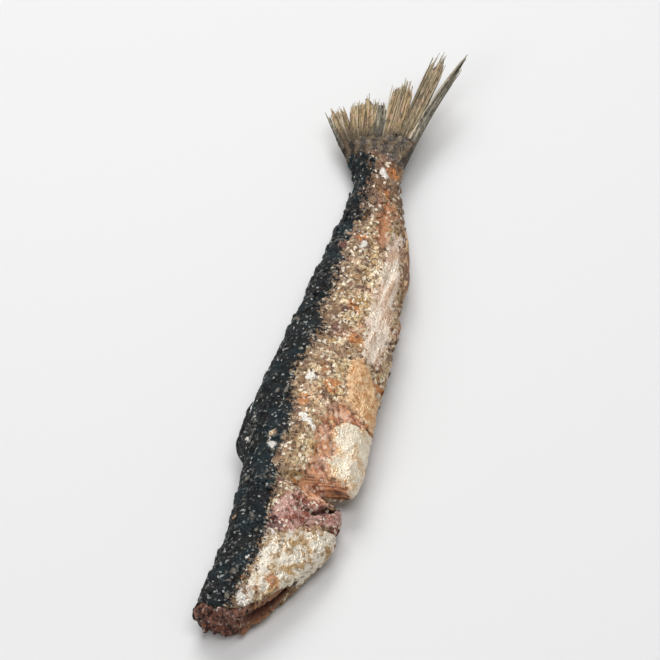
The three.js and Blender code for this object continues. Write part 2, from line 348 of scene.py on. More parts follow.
def with_ends(values):
    """Numbers for every point of a closed mesh, whose last two points are in the middle of its ends."""
    return np.r_[values.ravel(), values[0].mean(), values[-1].mean()]


upper = np.linspace(0, math.pi, UPPER_POINTS, endpoint=False)
lower = np.linspace(math.pi, 2 * math.pi, LOWER_POINTS, endpoint=False)
angle = np.concatenate([upper, lower])


def inner_ring(depth, part):
    """A ring of points at a depth behind the neck cut, and at a part of the section's size."""
    return laid(depth, part * np.cos(angle), part * np.sin(angle))


# The trunk's end, over the root of the fin
END_THINNING = 3.5  # length over which it thins to an edge
END_BOW = 1.4  # how far the middle of that edge stands out behind its corners
distance = np.linspace(0, TRUNK_LENGTH + ROOT_REACH, ROWS)
before_end = distance - distance[-1]
thinning = np.sqrt(1 - 0.9 * smooth(-END_THINNING, 0, before_end))[:, None]
end_bow = END_BOW * smooth(-12, 0, before_end)[:, None] * (1 - 0.8 * np.cos(angle) ** 2)
trunk_rings = laid(distance[:, None], np.cos(angle), np.sin(angle) * thinning)
trunk_rings[..., 0] += end_bow

# Inside the neck cut the skin turns in round the flesh
turned_in = [inner_ring(9, 0.8), inner_ring(2, 0.9)]
form = np.concatenate([turned_in, trunk_rings])
INNER = len(turned_in)

# Places on the trunk, and its outward direction at each
x, y, z = np.moveaxis(form, -1, 0)
step = np.roll(form, -1, 1) - form
around = np.cumsum(np.linalg.norm(step, axis=-1), 1)
around = np.where(angle < math.pi, around, around[:, -1:] - around)
shown = (angle < math.pi + PAST_EDGE)[None]
facing = np.cross(np.roll(form, -1, 1) - np.roll(form, 1, 1), np.gradient(form, axis=0))
facing /= np.maximum(np.linalg.norm(facing, axis=-1, keepdims=True), 1e-9)

# Where each kind of skin is, in millimetres inside its border. The hidden flank split less.
ragged = 0.55 * mottle(form, 2.6, 11) + 0.4 * mottle(form, 1.1, 12) + 0.2 * mottle(form, 0.55, 13)
wavy = mottle(form, 3.8, 14)
charred = y - curve_through(CHAR_BORDER)(x) + 0.9 * ragged
cream = np.where(shown, inside(x, y, CREAM_PATCH), NOT_HERE) + 0.7 * ragged + 0.9 * wavy
tan = np.where(shown, inside(x, y, TAN_PATCH), NOT_HERE) + 0.5 * ragged + 0.6 * wavy
bare = np.where(shown, inside(x, y, BARE_MUSCLE), inside(x + HIDDEN_SPLIT, y, TAN_PATCH)) + 1.4 * ragged
bare = np.minimum(bare, -np.maximum(cream, tan))
bare = np.maximum(bare, inside(x, y, TAIL_MUSCLE) + 1.2 * ragged)
bruise = inside(x, y, BRUISE) + 0.9 * ragged
silver = inside(x, y, SILVER_BELLY) + 0.7 * ragged
flap = np.where(shown, inside(x, y, NECK_FLAP), NOT_HERE) + 0.6 * ragged
pale = spotted(x + 1.8 * ragged, y + 1.4 * ragged, PALE_SPOTS) * shown
orange = spotted(x + 1.3 * ragged, y + 0.9 * ragged, ORANGE_SPOTS) * shown
dark = spotted(x + 1.0 * ragged, y + 0.9 * ragged, DARK_SPOTS) * shown
crease = 0
for start, end, depth, width in CREASES:
    off_crease = from_line(x, y, start, end) + 0.4 * ragged
    crease = crease + depth * np.exp(-((off_crease / width) ** 2)) * shown

# Relief of each kind of skin, in millimetres
FOLD = 0.3
CRUST_LUMP = 0.6
CRUST_STEP = 0.16  # the crust's border stands up, and the skin beside it sinks as much
SCALE_STEP = 0.17
PEEL_DEPTH = 0.4  # thickness of the skin that is gone where muscle is bare
CREAM_RISE = 0.25
TAN_RISE = 0.3
FLAP_RISE = 0.25
MUSCLE_RIDGE = 0.14
MUSCLE_PITCH = 2.6  # between two bands of muscle
RAY_RIDGE = 0.16
DARK_DENT = 0.25

# From large folds down to single scales and grains
crumple = np.stack([mottle(form, 3.4, 21), mottle(form, 3.4, 22)]) * 0.75
crumple += np.stack([mottle(form, 1.5, 23), mottle(form, 1.5, 24)]) * 0.3
height, rim_shade, lip_highlight, tone = scales(x + crumple[0], around + crumple[1])
scaly = 1 - smooth(-0.2, 0.3, np.maximum.reduce([bare, cream, tan]))
scaly *= 1 - 0.6 * smooth(-0.5, 1, silver)
folds = mottle(form, (11, 2.4, 3), 31) * FOLD + mottle(form, (5, 1.2, 2), 32) * 0.2
folds *= 0.4 + smooth(60, 105, x)  # the thin end of the trunk shrank most
crust = smooth(-0.4, 0.9, charred)
lumps = np.abs(mottle(form, (2.6, 1.5, 1.7), 34)) * CRUST_LUMP + np.abs(mottle(form, 0.8, 35)) * 0.3
relief = mottle(form, 9, 33) * 0.3 + mottle(form, 4, 36) * 0.2 + folds + lumps * crust
relief += scaly * SCALE_STEP * height * (1 - 0.5 * crust)
relief += CRUST_STEP * smooth(-0.9, 0, charred) - CRUST_STEP * smooth(-2.6, -1.2, charred)
relief -= PEEL_DEPTH * smooth(-0.3, 0.7, bare)
relief += CREAM_RISE * smooth(-0.15, 0.3, cream) + TAN_RISE * smooth(-0.15, 0.3, tan)
relief += FLAP_RISE * smooth(-0.2, 0.4, flap)
bands = np.sin((x + 1.6 * np.abs(y + 6) + mottle(form, 3, 41)) * 2 * math.pi / MUSCLE_PITCH)
relief += MUSCLE_RIDGE * bands * smooth(-0.1, 0.6, bare)
relief += (0.1 + 0.08 * smooth(0, 1, flap) - 0.05 * smooth(0, 1, silver)) * mottle(form, 0.7, 42)
relief += 0.12 * mottle(form, 1.4, 43)
fan = np.abs(np.sin(np.arctan2(y - 0.2, x - 106) * 24 + 0.8 * mottle(form, 3, 44)))
fin_root = smooth(118.5, TRUNK_LENGTH, x + 1.2 * ragged + 0.12 * np.abs(y) ** 1.5)
relief = relief * (1 - 0.6 * fin_root) + RAY_RIDGE * fan * fin_root
relief -= crease + DARK_DENT * dark
blurred = sum(np.roll(relief, (a, b), (0, 1)) for a in (-2, 0, 2) for b in (-3, 0, 3)) / 9

# The cut and the torn end of the skin are ragged too
push = relief[..., None] * facing
at_cut = smooth(3, 0, distance)[:, None]
push[INNER:, :, 0] += (0.7 * mottle(trunk_rings, 2.2, 53) + 0.4 * mottle(trunk_rings, 0.8, 54)) * at_cut
push[INNER:, :, 0] += 1.1 * mottle(trunk_rings, 1.2, 55) * smooth(-1.5, 0, before_end)[:, None]
push[:INNER] = 0
skin = form + push
skin[..., 2] = np.maximum(skin[..., 2], 0)

readings = {
    "charred": charred, "cream": cream, "tan": tan, "bare": bare, "bruise": bruise, "silver": silver,
    "flap": flap, "pale": pale, "orange": orange, "dark": dark, "crease": crease, "rim_shade": rim_shade * scaly,
    "lip_highlight": lip_highlight * scaly, "tone": tone, "raised": relief - blurred, "root": fin_root, "fan": fan, "along": x,
}
trunk = closed_mesh("herring_trunk", skin + NECK)
note(trunk, **{name: with_ends(values) for name, values in readings.items()})


def wire(tree, kind, feeds=None, **settings):
    """Adds a node, with its settings, and feeds its inputs from numbers or from other nodes."""
    made = tree.nodes.new(kind)
    for name, value in settings.items():
        setattr(made, name, value)
    for name, value in (feeds or {}).items():
        if isinstance(value, bpy.types.NodeSocket):
            tree.links.new(value, made.inputs[name])
        else:
            made.inputs[name].default_value = value
    return made


class Finish:
    """A material being mixed: places in millimetres, readings, specks, borders and coats of colour."""

    def __init__(self, name, **gloss):
        self.material = bpy.data.materials.new(name)
        self.material.use_nodes = True
        self.tree = self.material.node_tree
        self.shader = self.tree.nodes["Principled BSDF"]
        for socket, value in gloss.items():
            self.shader.inputs[socket.replace("_", " ")].default_value = value
        place = wire(self.tree, "ShaderNodeTexCoord").outputs["Object"]
        scaled = wire(self.tree, "ShaderNodeVectorMath", {0: place}, operation="SCALE")
        scaled.inputs["Scale"].default_value = 1 / MM
        self.place = scaled.outputs[0]

    def reading(self, name):
        """A number stored at the piece's points."""
        return wire(self.tree, "ShaderNodeAttribute", attribute_name=name).outputs["Fac"]

    def specks(self, size, detail=3.0, rough=0.6, stretch=(1, 1, 1)):
        """Cloudy noise with patches about a size across, from 0 to 1."""
        turned = wire(self.tree, "ShaderNodeVectorMath", {0: self.place, 1: stretch}, operation="MULTIPLY")
        feeds = {"Vector": turned.outputs[0], "Scale": 1 / size, "Detail": detail, "Roughness": rough}
        return wire(self.tree, "ShaderNodeTexNoise", feeds).outputs["Fac"]

    def cells(self, size, output="Color"):
        """Small cells: each one's own random grey, or the distance from its middle."""
        made = wire(self.tree, "ShaderNodeTexVoronoi", {"Vector": self.place, "Scale": 1 / size})
        if output != "Color":
            return made.outputs[output]
        return wire(self.tree, "ShaderNodeSeparateColor", {0: made.outputs["Color"]}).outputs[0]

    def sum(self, a, b, operation="ADD"):
        """Arithmetic on two numbers."""
        return wire(self.tree, "ShaderNodeMath", {0: a, 1: b}, operation=operation).outputs[0]

    def ramp(self, value, low, high, to=(0, 1)):
        """A number spread evenly from one range to another, and held at its ends."""
        feeds = {"Value": value, "From Min": low, "From Max": high, "To Min": to[0], "To Max": to[1]}
        return wire(self.tree, "ShaderNodeMapRange", feeds, interpolation_type="SMOOTHSTEP").outputs[0]

    def coat(self, under, over, share, blend="MIX"):
        """One colour laid over another."""
        made = wire(self.tree, "ShaderNodeMix", data_type="RGBA", blend_type=blend)
        for socket, value in ((made.inputs[0], share), (made.inputs[6], under), (made.inputs[7], over)):
            if isinstance(value, bpy.types.NodeSocket):
                self.tree.links.new(value, socket)
            else:
                socket.default_value = value if isinstance(value, float) else (*value, 1)
        return made.outputs[2]

    def feed(self, **sockets):
        """Feeds the shader's own inputs."""
        for socket, value in sockets.items():
            self.tree.links.new(value, self.shader.inputs[socket.replace("_", " ")])

    def bump(self, height, depth):
        """Fine relief of a depth in millimetres."""
        feeds = {"Height": height, "Distance": depth * MM, "Strength": 1.0}
        self.feed(Normal=wire(self.tree, "ShaderNodeBump", feeds).outputs[0])


finish = Finish("dried_skin", Specular_IOR_Level=0.55)
fine = finish.specks(0.35, 3)
grit = finish.specks(0.9, 4)
streaks = finish.specks(1.3, 3, 0.6, (0.16, 1, 1))
blotch = finish.specks(2.2, 4, 0.65)
stain = finish.specks(3.1, 5, 0.7, (1, 1.3, 1))
clouds = finish.specks(5, 3)
grains = finish.cells(0.55)
flecks = finish.cells(0.42)
loose = finish.sum(finish.ramp(grit, 0.25, 0.75, (-0.9, 0.9)), finish.ramp(fine, 0.25, 0.75, (-0.5, 0.5)))
scale_tone = finish.reading("tone")
raised = finish.reading("raised")
along_trunk = finish.reading("along")


def part_of(share, whole):
    """A share of another share."""
    return finish.sum(share, whole, "MULTIPLY")


def region(name, low=-0.2, high=0.3, amount=1.0):
    """Where a kind of skin shows, with a border as ragged as the specks."""
    return finish.ramp(finish.sum(finish.reading(name), part_of(loose, amount)), low, high)


# All colours are linear red, green and blue. First the scales of the flank, each in a tone of its own
BROWN = (0.21, 0.09, 0.034)
OLD_GOLD = (0.50, 0.30, 0.13)
BRIGHT_GOLD = (0.60, 0.38, 0.13)
ROSE = (0.58, 0.28, 0.19)
RUST = (0.58, 0.23, 0.055)
STRAW = (0.80, 0.62, 0.40)
UMBER = (0.13, 0.055, 0.025)
STREAK_BROWN = (0.20, 0.095, 0.045)
# Painted highlight on the free edge of each scale, and painted shade along its outline
SCALE_LIP_HIGHLIGHT = (0.95, 0.80, 0.52)
SCALE_RIM_SHADE = (0.09, 0.04, 0.02)
colour = finish.coat(BROWN, OLD_GOLD, finish.ramp(blotch, 0.38, 0.6))
colour = finish.coat(colour, BRIGHT_GOLD, finish.ramp(clouds, 0.48, 0.36, (0, 0.7)))
colour = finish.coat(colour, ROSE, finish.ramp(clouds, 0.52, 0.64, (0, 0.8)))
colour = finish.coat(colour, RUST, finish.ramp(stain, 0.54, 0.66, (0, 0.85)))
colour = finish.coat(colour, STRAW, finish.ramp(scale_tone, 0.55, 0.98, (0, 0.65)))
colour = finish.coat(colour, UMBER, finish.ramp(scale_tone, 0.36, 0.0, (0, 0.8)))
colour = finish.coat(colour, STREAK_BROWN, finish.ramp(streaks, 0.5, 0.38, (0, 0.7)))
# Painted highlight on the free edges of the scales, then painted shade along their outlines
lip_highlight_share = part_of(finish.ramp(blotch, 0.42, 0.6, (0.15, 0.75)), finish.reading("lip_highlight"))
colour = finish.coat(colour, SCALE_LIP_HIGHLIGHT, lip_highlight_share)
colour = finish.coat(colour, SCALE_RIM_SHADE, part_of(finish.reading("rim_shade"), 0.8))

# Smoke darkened it beside the crusted back and towards the tail
SMOKE = (0.14, 0.07, 0.035)
TAIL_BROWN = (0.13, 0.06, 0.03)
smoky = finish.ramp(finish.sum(finish.reading("charred"), part_of(loose, 1.8)), -5.5, -0.5, (0, 0.6))
colour = finish.coat(colour, SMOKE, smoky)
colour = finish.coat(colour, TAIL_BROWN, finish.ramp(along_trunk, 94, 110, (0, 0.62)))

# The pale flap behind the neck cut, and the silvery skin of the belly
FLAP_GOLD = (0.58, 0.37, 0.17)
FLAP_CREAM = (1.0, 0.93, 0.79)
flap_share = region("flap", -0.3, 0.8)
flap_colour = finish.coat(FLAP_GOLD, FLAP_CREAM, finish.ramp(blotch, 0.4, 0.55))
colour = finish.coat(colour, flap_colour, part_of(flap_share, 0.82))
BELLY_PINK = (0.62, 0.41, 0.28)
BELLY_SILVER = (0.90, 0.77, 0.64)
silver_share = region("silver", -0.4, 0.6)
silver_colour = finish.coat(BELLY_PINK, BELLY_SILVER, finish.ramp(streaks, 0.38, 0.54))
colour = finish.coat(colour, silver_colour, part_of(silver_share, 0.9))

# Bruised skin at the tear, and the muscle that the split skin bares
BRUISE_DARK = (0.30, 0.08, 0.045)
BRUISE_PINK = (0.58, 0.33, 0.28)
BRUISE_PALE = (0.80, 0.60, 0.50)
bruise_colour = finish.coat(BRUISE_DARK, BRUISE_PINK, finish.ramp(blotch, 0.4, 0.58))
bruise_colour = finish.coat(bruise_colour, BRUISE_PALE, finish.ramp(grit, 0.57, 0.67, (0, 0.75)))
colour = finish.coat(colour, bruise_colour, region("bruise", -0.6, 0.6, 1.4))
MUSCLE_DARK = (0.34, 0.10, 0.04)
MUSCLE_RED = (0.76, 0.35, 0.17)
MUSCLE_PALE = (0.80, 0.50, 0.36)
TAIL_MUSCLE_RED = (0.40, 0.165, 0.06)
bare_share = region("bare", -0.4, 0.5, 1.3)
muscle_colour = finish.coat(MUSCLE_DARK, MUSCLE_RED, finish.ramp(blotch, 0.36, 0.56))
muscle_colour = finish.coat(muscle_colour, MUSCLE_PALE, finish.ramp(clouds, 0.5, 0.62, (0, 0.75)))
muscle_colour = finish.coat(muscle_colour, TAIL_MUSCLE_RED, finish.ramp(along_trunk, 88, 98, (0, 0.65)))
colour = finish.coat(colour, muscle_colour, bare_share)

# Orange spots of dried oil, and the two papery patches of inner skin that are left on the belly
ORANGE = (0.55, 0.20, 0.05)
TAN_DARK = (0.60, 0.30, 0.12)
TAN_LIGHT = (0.84, 0.56, 0.31)
CREAM_EDGE = (0.78, 0.44, 0.21)
CREAM_DARK = (0.78, 0.56, 0.34)
CREAM_LIGHT = (0.90, 0.79, 0.62)
orange_share = finish.ramp(finish.sum(finish.reading("orange"), part_of(loose, 0.25)), 0.3, 0.8, (0, 0.8))
colour = finish.coat(colour, ORANGE, orange_share)
tan_colour = finish.coat(TAN_DARK, TAN_LIGHT, finish.ramp(grit, 0.4, 0.58))
colour = finish.coat(colour, tan_colour, region("tan", -0.1, 0.15, 0.6))
colour = finish.coat(colour, CREAM_EDGE, region("cream", -0.1, 0.15, 0.6))
cream_colour = finish.coat(CREAM_DARK, CREAM_LIGHT, finish.ramp(blotch, 0.36, 0.5))
colour = finish.coat(colour, cream_colour, region("cream", 0.15, 0.7, 0.9))

# Dark stains, painted shade in creases and sunk places, a painted highlight on raised places, pale grains
# painted as glints, and dark grains of soot
STAIN = (0.11, 0.035, 0.03)
CREASE_SHADE = (0.06, 0.013, 0.01)
SUNK_SHADE = (0.08, 0.035, 0.02)
RAISED_HIGHLIGHT = (0.94, 0.83, 0.64)
GLINT_GRAIN = (0.96, 0.86, 0.68)
SOOT_GRAIN = (0.08, 0.04, 0.02)
colour = finish.coat(colour, STAIN, finish.ramp(finish.reading("dark"), 0.2, 0.7, (0, 0.85)))
# Painted shade, a very dark red, in the creases round the tear
crease_shade_share = finish.ramp(finish.sum(finish.reading("crease"), part_of(loose, 0.4)), 0.35, 0.9)
colour = finish.coat(colour, CREASE_SHADE, crease_shade_share)
# Painted shade where the skin lies lower than round about, and a painted highlight where it stands higher
colour = finish.coat(colour, SUNK_SHADE, finish.ramp(raised, -0.06, -0.3, (0, 0.8)))
colour = finish.coat(colour, RAISED_HIGHLIGHT, finish.ramp(raised, 0.08, 0.3, (0, 0.4)))
patched = finish.sum(region("cream", -0.1, 0.2, 0.6), region("tan", -0.1, 0.2, 0.6), "MAXIMUM")
for clean_share in (part_of(silver_share, 0.75), part_of(flap_share, 0.5), part_of(bare_share, 0.5)):
    patched = finish.sum(patched, clean_share, "MAXIMUM")
grainy = finish.ramp(patched, 0, 1, (0.75, 0.1))
# Pale grains painted as glints, and dark grains of soot
colour = finish.coat(colour, GLINT_GRAIN, part_of(finish.ramp(grains, 0.87, 0.92), grainy))
colour = finish.coat(colour, SOOT_GRAIN, part_of(finish.ramp(grains, 0.14, 0.08), grainy))

# The crusted back, blue-black with glints of salt, and white spots on back and flank, partly pale skin and
# partly painted glints
CRUST_BLACK = (0.0035, 0.0045, 0.005)
CRUST_BLUE = (0.004, 0.014, 0.018)
CRUST_BROWN = (0.026, 0.016, 0.011)
GLINT = (0.42, 0.44, 0.42)
CRUMB_AND_HIGHLIGHT_GREY = (0.20, 0.18, 0.15)
PALE_SPOT_AND_GLINT = (0.86, 0.82, 0.75)
char_share = region("charred", -0.5, 0.5, 1.5)
char_colour = finish.coat(CRUST_BLACK, CRUST_BLUE, finish.ramp(clouds, 0.45, 0.62))
char_colour = finish.coat(char_colour, CRUST_BROWN, finish.ramp(blotch, 0.58, 0.7))
glints = part_of(finish.ramp(flecks, 0.88, 0.94), finish.ramp(blotch, 0.48, 0.6, (0.2, 0.95)))
char_colour = finish.coat(char_colour, GLINT, glints)
# Grey crumbs on the crust, with a painted highlight on its raised places
crumb_and_highlight_share = finish.ramp(finish.sum(raised, part_of(scale_tone, 0.5)), 0.46, 0.66, (0, 0.85))
char_colour = finish.coat(char_colour, CRUMB_AND_HIGHLIGHT_GREY, crumb_and_highlight_share)
colour = finish.coat(colour, char_colour, char_share)
# Pale spots, partly pale skin and partly painted glints of curled scales
pale_and_glint_share = finish.ramp(finish.sum(finish.reading("pale"), part_of(loose, 0.35)), 0.3, 0.75, (0, 0.85))
colour = finish.coat(colour, PALE_SPOT_AND_GLINT, pale_and_glint_share)

# The skin over the root of the tail fin, ribbed by the rays below it
ROOT_DARK = (0.028, 0.020, 0.013)
ROOT_LIGHT = (0.15, 0.105, 0.062)
root_share = finish.ramp(finish.sum(finish.reading("root"), part_of(loose, 0.2)), 0.3, 0.7)
ribs = finish.ramp(finish.sum(finish.reading("fan"), part_of(loose, 0.5)), 0.4, 1.1)
root_colour = finish.coat(ROOT_DARK, ROOT_LIGHT, ribs)
colour = finish.coat(colour, root_colour, part_of(root_share, 0.9))

# Scales shine like foil, and muscle and crust don't
not_shiny = finish.sum(bare_share, char_share, "MAXIMUM")
sheen = finish.ramp(scale_tone, 0.2, 0.9, (0.1, 0.5))
oiliness = finish.ramp(finish.specks(0.6, 3), 0.3, 0.7, (0.22, 0.58))
finish.feed(
    Base_Color=colour,
    Metallic=part_of(sheen, finish.ramp(not_shiny, 0, 1, (1, 0.05))),
    Roughness=finish.sum(oiliness, part_of(char_share, 0.12)),
    Specular_IOR_Level=finish.ramp(char_share, 0, 1, (0.55, 0.2)),
)
finish.bump(finish.sum(fine, finish.cells(0.42, "Distance")), 0.14)
trunk.data.materials.append(finish.material)
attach(trunk, "root")
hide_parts("dried_herring")


# ---- Loose scales ------------------------------------------------------------------------------
# Scales that curled and came half loose as the skin shrank. Each is a thin cupped disc of horn, held at
# the side towards the head, with its free edge standing up towards the tail.

LOOSE_SCALES = 1150  # places tried, of which about half hold one
SHOWN_SHARE = 0.72  # share of the places that are on the flank that shows
CRUST_HOLDS = 0.25  # chance that a place on the crusted back holds one
PATCH_HOLDS = 0.08  # on the pale patches and bare muscle
SCALY_HOLDS = 0.8  # and how much more on plain scaly skin
EDGE_POINTS = 9
luck = np.random.default_rng(5)
row = luck.integers(INNER + 4, len(skin) - 24, LOOSE_SCALES)
is_shown = luck.random(LOOSE_SCALES) < SHOWN_SHARE
column = np.where(is_shown, luck.integers(0, UPPER_POINTS + 8, LOOSE_SCALES), -1)
column = np.where(column < 0, luck.integers(UPPER_POINTS, len(angle), LOOSE_SCALES), column)
plain = scaly * (1 - smooth(-0.5, 0.5, silver)) * (1 - 0.5 * smooth(-0.5, 0.5, flap))
holds = np.where(charred > 0, CRUST_HOLDS, PATCH_HOLDS + SCALY_HOLDS * plain)[row, column]
on_skin = luck.random(LOOSE_SCALES) < holds
row, column = row[on_skin], column[on_skin]
count = len(row)

# Each scale's own directions, out from the skin, towards the tail and across, turned a little at random
out = facing[row, column]
aft = np.gradient(form, axis=0)[row, column]
aft /= np.linalg.norm(aft, axis=1, keepdims=True)
sideways = np.cross(out, aft)
yaw = luck.normal(0, 0.5, count)[:, None]
aft, sideways = aft * np.cos(yaw) + sideways * np.sin(yaw), sideways * np.cos(yaw) - aft * np.sin(yaw)

# Its ragged outline in millimetres, how far its free edge lifts, and how much it is cupped
round_edge = np.linspace(0, 2 * math.pi, EDGE_POINTS, endpoint=False)
size = luck.uniform(0.5, 1.1, count)[:, None] * (0.8 + 0.4 * luck.random((count, EDGE_POINTS)))
free = size * np.cos(round_edge)
wide = size * np.sin(round_edge) * 0.85
lift = (luck.uniform(0.05, 0.62, count) ** 1.7)[:, None]
cup = luck.uniform(-0.22, 0.14, count)[:, None]
stand = 0.05 + lift * (free + 0.5) * 0.6 + cup * wide**2
centre = skin[row, column] + out * (0.06 + 0.3 * lift)
edge = skin[row, column][:, None] + aft[:, None] * free[..., None] + sideways[:, None] * wide[..., None]
edge = edge + out[:, None] * stand[..., None]
flake_points = np.concatenate([edge, (centre + 0.02 * out)[:, None], (centre - 0.04 * out)[:, None]], 1)
flake_points[..., 2] = np.maximum(flake_points[..., 2], 0.02)
one = np.arange(EDGE_POINTS)
after = (one + 1) % EDGE_POINTS
top = np.stack([one, after, np.full(EDGE_POINTS, EDGE_POINTS)], -1)
under = np.stack([after, one, np.full(EDGE_POINTS, EDGE_POINTS + 1)], -1)
flake_faces = np.concatenate([top, under])[None] + (np.arange(count) * (EDGE_POINTS + 2))[:, None, None]
flake_places = (flake_points + NECK).reshape(-1, 3) * MM
flake_mesh = bpy.data.meshes.new("loose_scales")
flake_mesh.from_pydata(flake_places.tolist(), [], flake_faces.reshape(-1, 3).tolist())
flakes = bpy.data.objects.new("loose_scales", flake_mesh)
bpy.context.scene.collection.objects.link(flakes)
flake_readings = {name: values[row, column] for name, values in readings.items()}
flake_readings["tone"] = 0.3 * flake_readings["tone"] + 0.25 + 0.45 * luck.random(count)
flake_readings["raised"] = luck.uniform(-0.12, 0.1, count)
# No painted shade along a loose scale's outline, and a painted highlight of random strength on its edge
flake_readings["rim_shade"] = np.zeros(count)
flake_readings["lip_highlight"] = luck.random(count) * 0.8
# A few on the crusted back are bare of crust
flake_readings["charred"] = np.where(luck.random(count) < 0.07, -1.5, flake_readings["charred"])
note(flakes, **{name: np.repeat(values, EDGE_POINTS + 2) for name, values in flake_readings.items()})
flake_mesh.materials.append(finish.material)
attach(flakes, "root")
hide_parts("dried_herring")


# ---- Neck cut ----------------------------------------------------------------------------------
# Where the head was cut off: dark crumbled muscle round the end of the backbone, and towards the belly
# the mouth of the emptied cavity between its two thin walls.

MOUTH_AT = -0.5  # middle of the cavity's mouth, as a share of the way from the axis to the back
MOUTH_HALF_DEPTH = 0.42
MOUTH_HALF_WIDTH = 0.5
HOLLOW = 6.0
cut_share = (1 - np.linspace(0.985, 0.03, 26) ** 1.15)[:, None]  # rings across the cut
face = inner_ring(0.0, cut_share)
mouth = (cut_share * np.cos(angle) - MOUTH_AT) / MOUTH_HALF_DEPTH
mouth = mouth**2 + (cut_share * np.sin(angle) / MOUTH_HALF_WIDTH) ** 2
lumpy = np.abs(mottle(face, 1.7, 51)) * 2.0 + mottle(face, 0.7, 52) * 0.6 + mottle(face, 0.4, 56) * 0.25
lumpy *= smooth(0.3, 1.1, mouth)
cut_skin = face.copy()
cut_skin[..., 0] += HOLLOW * smooth(1, 0.1, mouth)
cut_skin[..., 0] += 0.25 * smooth(0.9, 0.99, cut_share) - lumpy * smooth(1.04, 0.85, cut_share)
cut_skin[..., 0] += (0.7 * mottle(face, 2.2, 53) + 0.4 * mottle(face, 0.8, 54)) * smooth(0.6, 1, cut_share)
buried = [inner_ring(2, 0.9), inner_ring(8.5, 0.8)]
cut_rings = np.concatenate([cut_skin, buried])
cut_rings[..., 2] = np.maximum(cut_rings[..., 2], 0)
neck_flesh = closed_mesh("neck_flesh", cut_rings + NECK)
hidden_rows = np.zeros((len(buried), len(angle)))
note(
    neck_flesh,
    lumpy=with_ends(np.vstack([lumpy, hidden_rows])),
    mouth=with_ends(np.vstack([smooth(1.4, 0.6, mouth), hidden_rows])),
    wall=with_ends(np.vstack([smooth(0.0, -0.35, cut_share * np.cos(angle)), hidden_rows])),
)

FLESH_DARK = (0.035, 0.011, 0.008)
FLESH_RED = (0.34, 0.14, 0.085)
WALL_BROWN = (0.40, 0.17, 0.06)
PIT_SHADE = (0.02, 0.008, 0.006)
FAT_GRAIN = (0.60, 0.47, 0.42)
BLOOD_GRAIN = (0.02, 0.01, 0.008)
MOUTH_SHADE = (0.10, 0.03, 0.015)
flesh = Finish("dried_flesh", Specular_IOR_Level=0.5)
crumbs = flesh.specks(0.8, 4, 0.7)
dots = flesh.cells(0.5)
flesh_colour = flesh.coat(FLESH_DARK, FLESH_RED, flesh.ramp(crumbs, 0.4, 0.6))
flesh_colour = flesh.coat(flesh_colour, WALL_BROWN, flesh.sum(flesh.reading("wall"), 0.65, "MULTIPLY"))
# Painted shade in the pits between the crumbs and in the mouth of the cavity
flesh_colour = flesh.coat(flesh_colour, PIT_SHADE, flesh.ramp(flesh.reading("lumpy"), 0.25, -0.1, (0, 0.8)))
flesh_colour = flesh.coat(flesh_colour, FAT_GRAIN, flesh.ramp(dots, 0.92, 0.96, (0, 0.7)))
flesh_colour = flesh.coat(flesh_colour, BLOOD_GRAIN, flesh.ramp(dots, 0.14, 0.08, (0, 0.8)))
flesh_colour = flesh.coat(flesh_colour, MOUTH_SHADE, flesh.sum(flesh.reading("mouth"), 0.75, "MULTIPLY"))
flesh.feed(Base_Color=flesh_colour, Roughness=flesh.ramp(crumbs, 0.3, 0.7, (0.3, 0.65)))
flesh.bump(flesh.sum(flesh.specks(0.3), crumbs), 0.2)
neck_flesh.data.materials.append(flesh.material)

# The cut end of the backbone: a small drum of bone, hollow in front
BONE_RADIUS = 1.35
BONE_POINTS = 28
BONE_FORM = [  # (millimetres behind the cut, share of the radius), from the middle of its hollow
    (0.45, 0.08), (0.2, 0.4), (-0.25, 0.75), (-0.62, 0.92), (-0.6, 1.04), (-0.2, 1.0), (0.6, 0.84),
    (2.5, 0.84), (5, 1),
]
BONE_BROWN = (0.42, 0.29, 0.19)
MARROW = (0.13, 0.05, 0.03)
bone_turns = np.linspace(0, 2 * math.pi, BONE_POINTS, endpoint=False)
worn = 1 + 0.05 * np.sin(bone_turns * 3 + 1) + 0.04 * np.sin(bone_turns * 7)
chipped = 0.08 * np.sin(bone_turns * 5 + 2)
bone_rings = []
for depth, part in BONE_FORM:
    bone_out = BONE_RADIUS * part * worn
    ring = np.stack([depth + chipped, np.cos(bone_turns) * bone_out, np.sin(bone_turns) * bone_out], -1)
    bone_rings.append(ring + laid(0.0, 0, 0))
backbone = closed_mesh("backbone_end", np.array(bone_rings) + NECK)
bone = Finish("dried_bone", Specular_IOR_Level=0.4)
bone_colour = bone.coat(BONE_BROWN, MARROW, bone.ramp(bone.specks(0.8, 4), 0.4, 0.6))
bone.feed(Base_Color=bone_colour, Roughness=bone.ramp(bone.specks(0.4), 0.3, 0.7, (0.4, 0.7)))
bone.bump(bone.specks(0.3), 0.08)
backbone.data.materials.append(bone.material)
for piece in (neck_flesh, backbone):
    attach(piece, "root")
    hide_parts("dried_herring")


# ---- Tail fin ----------------------------------------------------------------------------------
# The forked tail fin: bony rays that branch into fine tips, joined by thin skin. It dried fanned out and
# split into seven bundles. The lower lobe is whole, and the upper one has broken short.

